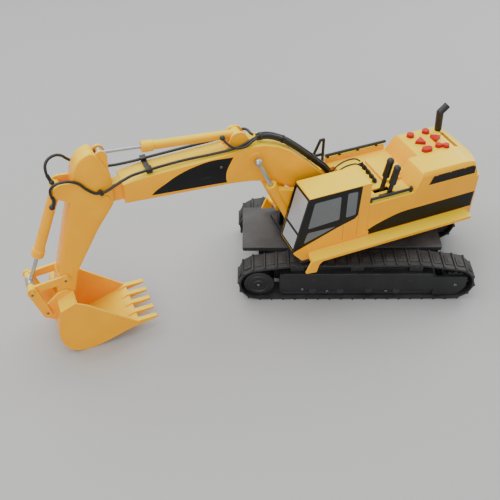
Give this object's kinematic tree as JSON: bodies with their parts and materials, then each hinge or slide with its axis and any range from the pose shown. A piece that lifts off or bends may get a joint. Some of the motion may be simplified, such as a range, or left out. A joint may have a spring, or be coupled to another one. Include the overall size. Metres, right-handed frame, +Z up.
{
  "type": "toy excavator",
  "caption": "Plastic toy crawler excavator with a turning house, a jointed digging arm, sliding cylinders and push buttons on the hood.",
  "frame": {"origin": "middle of the footprint's box, on the ground under the tracks", "axes": "+Z up; the digging arm reaches towards -X; the cab is on the -Y side; the undercarriage is turned 22 degrees clockwise under the house"},
  "size_m": [0.6151, 0.2642, 0.2688],
  "materials": {
    "yellow_plastic": "moulded gloss plastic, dusty on upward faces",
    "black_plastic": "fine moulded texture",
    "dusty_plastic": "dusty, lightly scuffed",
    "track_rubber": "matt, dusty on the shoes",
    "hose_rubber": "smooth satin",
    "window_film": "printed film, grey panes in a black surround",
    "red_plastic": "moulded gloss",
    "plated_rod": "bright plated",
    "circuit_board": "plain board"
  },
  "bodies": {
    "undercarriage": {"chassis": "black_plastic", "battery_box": "black_plastic", "battery_cover": "black_plastic", "deck_cover": "dusty_plastic", "slew_ring": "black_plastic", "side_frame_left": "black_plastic", "side_frame_right": "black_plastic", "track_belt_left": "track_rubber", "track_belt_right": "track_rubber"},
    "idler_left": {"idler_wheel_left": "black_plastic"},
    "idler_right": {"idler_wheel_right": "black_plastic"},
    "sprocket_left": {"sprocket_wheel_left": "black_plastic"},
    "sprocket_right": {"sprocket_wheel_right": "black_plastic"},
    "house": {"house_floor": "black_plastic", "house_shell": "yellow_plastic", "walkway_left": "yellow_plastic", "walkway_right": "yellow_plastic", "cab_shell": "yellow_plastic", "cab_window_left": "window_film", "cab_window_right": "window_film", "cab_windscreen": "window_film", "engine_hood": "yellow_plastic", "exhaust_pipe": "black_plastic", "hand_rail_left": "black_plastic", "hand_rail_right": "black_plastic", "grab_frame": "black_plastic", "switch_board": "circuit_board", "speaker": "black_plastic"},
    "button_round_front_body": {"button_round_front": "red_plastic"},
    "button_round_rear_body": {"button_round_rear": "red_plastic"},
    "button_triangle_front_body": {"button_triangle_front": "red_plastic"},
    "button_triangle_rear_body": {"button_triangle_rear": "red_plastic"},
    "button_oval_body": {"button_oval": "red_plastic"},
    "button_dumbbell_body": {"button_dumbbell": "red_plastic"},
    "lever_inner_body": {"lever_inner": "black_plastic"},
    "lever_outer_body": {"lever_outer": "black_plastic"},
    "boom": {"boom_left_half": "yellow_plastic", "boom_right_half": "yellow_plastic", "boom_foot_pin": "plated_rod", "boom_conduit": "hose_rubber", "hose_left": "hose_rubber", "hose_right": "hose_rubber"},
    "boom_barrel_left": {"boom_cylinder_barrel_left": "yellow_plastic"},
    "boom_rod_left": {"boom_cylinder_rod_left": "plated_rod"},
    "boom_barrel_right": {"boom_cylinder_barrel_right": "yellow_plastic"},
    "boom_rod_right": {"boom_cylinder_rod_right": "plated_rod"},
    "stick": {"stick_left_half": "yellow_plastic", "stick_right_half": "yellow_plastic", "stick_pin": "yellow_plastic"},
    "stick_barrel": {"stick_cylinder_barrel": "yellow_plastic"},
    "stick_rod": {"stick_cylinder_rod": "plated_rod"},
    "bucket_body": {"bucket": "yellow_plastic"},
    "idler": {"idler_link": "yellow_plastic"},
    "bucket_links": {"bucket_link_left": "yellow_plastic", "bucket_link_right": "yellow_plastic"},
    "bucket_barrel": {"bucket_cylinder_barrel": "yellow_plastic"},
    "bucket_rod": {"bucket_cylinder_rod": "plated_rod"}
  },
  "joints": [
    {"name": "sprocket_left_spin", "type": "hinge", "parent": "undercarriage", "child": "sprocket_left", "pos_m": [0.22934, -0.1068, 0.026], "axis": [0.3786, 0.9255, 0], "continuous": true},
    {"name": "idler_left_spin", "type": "hinge", "parent": "undercarriage", "child": "idler_left", "pos_m": [-0.01315, -0.0076, 0.026], "axis": [0.3786, 0.9255, 0], "continuous": true},
    {"name": "sprocket_right_spin", "type": "hinge", "parent": "undercarriage", "child": "sprocket_right", "pos_m": [0.27615, 0.0076, 0.026], "axis": [0.3786, 0.9255, 0], "continuous": true},
    {"name": "idler_right_spin", "type": "hinge", "parent": "undercarriage", "child": "idler_right", "pos_m": [0.03365, 0.1068, 0.026], "axis": [0.3786, 0.9255, 0], "continuous": true},
    {"name": "house_slew", "type": "hinge", "parent": "undercarriage", "child": "house", "pos_m": [0.1315, 0, 0.075], "axis": [0, 0, 1], "continuous": true},
    {"name": "button_round_front_press", "type": "slide", "parent": "house", "child": "button_round_front_body", "axis": [0, 0, -1], "range_m": [0, 0.002], "stiffness_N_per_m": 350},
    {"name": "button_round_rear_press", "type": "slide", "parent": "house", "child": "button_round_rear_body", "axis": [0, 0, -1], "range_m": [0, 0.002], "stiffness_N_per_m": 350},
    {"name": "button_triangle_front_press", "type": "slide", "parent": "house", "child": "button_triangle_front_body", "axis": [0, 0, -1], "range_m": [0, 0.002], "stiffness_N_per_m": 350},
    {"name": "button_triangle_rear_press", "type": "slide", "parent": "house", "child": "button_triangle_rear_body", "axis": [0, 0, -1], "range_m": [0, 0.002], "stiffness_N_per_m": 350},
    {"name": "button_oval_press", "type": "slide", "parent": "house", "child": "button_oval_body", "axis": [0, 0, -1], "range_m": [0, 0.002], "stiffness_N_per_m": 350},
    {"name": "button_dumbbell_press", "type": "slide", "parent": "house", "child": "button_dumbbell_body", "axis": [0, 0, -1], "range_m": [0, 0.002], "stiffness_N_per_m": 350},
    {"name": "lever_inner_swing", "type": "hinge", "parent": "house", "child": "lever_inner_body", "pos_m": [0.1485, -0.028, 0.1345], "axis": [0, 1, 0], "range_deg": [-14, 14], "stiffness_Nm_per_rad": 0.06},
    {"name": "lever_outer_swing", "type": "hinge", "parent": "house", "child": "lever_outer_body", "pos_m": [0.1515, -0.0402, 0.1345], "axis": [0, 1, 0], "range_deg": [-14, 14], "stiffness_Nm_per_rad": 0.06},
    {"name": "boom_lift", "type": "hinge", "parent": "house", "child": "boom", "pos_m": [0.0935, 0.02, 0.116], "axis": [0, 1, 0], "range_deg": [-15, 18]},
    {"name": "boom_barrel_left_swing", "type": "hinge", "parent": "house", "child": "boom_barrel_left", "pos_m": [0.0385, -0.004, 0.101], "axis": [0, 1, 0], "range_deg": [-16.06, 19.23]},
    {"name": "boom_rod_left_slide", "type": "slide", "parent": "boom_barrel_left", "child": "boom_rod_left", "axis": [-0.4117, 0, 0.9113], "range_m": [-0.01498, 0.01791]},
    {"name": "boom_barrel_right_swing", "type": "hinge", "parent": "house", "child": "boom_barrel_right", "pos_m": [0.0385, 0.044, 0.101], "axis": [0, 1, 0], "range_deg": [-16.06, 19.23]},
    {"name": "boom_rod_right_slide", "type": "slide", "parent": "boom_barrel_right", "child": "boom_rod_right", "axis": [-0.4117, 0, 0.9113], "range_m": [-0.01498, 0.01791]},
    {"name": "stick_swing", "type": "hinge", "parent": "boom", "child": "stick", "pos_m": [-0.196, 0.02, 0.207], "axis": [0, 1, 0], "range_deg": [-22, 22], "deforming": ["hose_left", "hose_right"]},
    {"name": "stick_barrel_swing", "type": "hinge", "parent": "boom", "child": "stick_barrel", "pos_m": [-0.032, 0.02, 0.246], "axis": [0, 1, 0], "range_deg": [-0.20472, 0.20472]},
    {"name": "stick_rod_slide", "type": "slide", "parent": "stick_barrel", "child": "stick_rod", "axis": [-0.9959, 0, 0.0903], "range_m": [-0.02059, 0.02059]},
    {"name": "bucket_curl", "type": "hinge", "parent": "stick", "child": "bucket_body", "pos_m": [-0.2642, 0.02, 0.08], "axis": [0, 1, 0], "range_deg": [-25, 18]},
    {"name": "idler_swing", "type": "hinge", "parent": "stick", "child": "idler", "pos_m": [-0.2598, 0.02, 0.1055], "axis": [0, 1, 0], "range_deg": [-18.17, 13.14]},
    {"name": "bucket_links_swing", "type": "hinge", "parent": "idler", "child": "bucket_links", "pos_m": [-0.3005, 0.02, 0.1015], "axis": [0, 1, 0], "range_deg": [-5.47, 7.51]},
    {"name": "bucket_barrel_swing", "type": "hinge", "parent": "stick", "child": "bucket_barrel", "pos_m": [-0.2455, 0.02, 0.2285], "axis": [0, 1, 0], "range_deg": [-2.92, 2.16]},
    {"name": "bucket_rod_slide", "type": "slide", "parent": "bucket_barrel", "child": "bucket_rod", "axis": [-0.3974, 0, -0.9176], "range_m": [-0.00813, 0.01117]}
  ],
  "couplings": [
    {"joint": "idler_left_spin", "follows": "sprocket_left_spin", "ratio": 1},
    {"joint": "idler_right_spin", "follows": "sprocket_right_spin", "ratio": 1},
    {"joint": "boom_barrel_left_swing", "follows": "boom_lift", "ratio": 1.0572},
    {"joint": "boom_rod_left_slide", "follows": "boom_lift", "m_per_rad": 0.056066},
    {"joint": "boom_barrel_right_swing", "follows": "boom_lift", "ratio": 1.0572},
    {"joint": "boom_rod_right_slide", "follows": "boom_lift", "m_per_rad": 0.056066},
    {"joint": "stick_barrel_swing", "follows": "stick_swing", "ratio": 0.00021},
    {"joint": "stick_rod_slide", "follows": "stick_swing", "m_per_rad": -0.052836},
    {"joint": "idler_swing", "follows": "bucket_curl", "ratio": 0.71895},
    {"joint": "bucket_links_swing", "follows": "bucket_curl", "ratio": -0.2925},
    {"joint": "bucket_barrel_swing", "follows": "bucket_curl", "ratio": 0.10896},
    {"joint": "bucket_rod_slide", "follows": "bucket_curl", "m_per_rad": -0.024911}
  ]
}
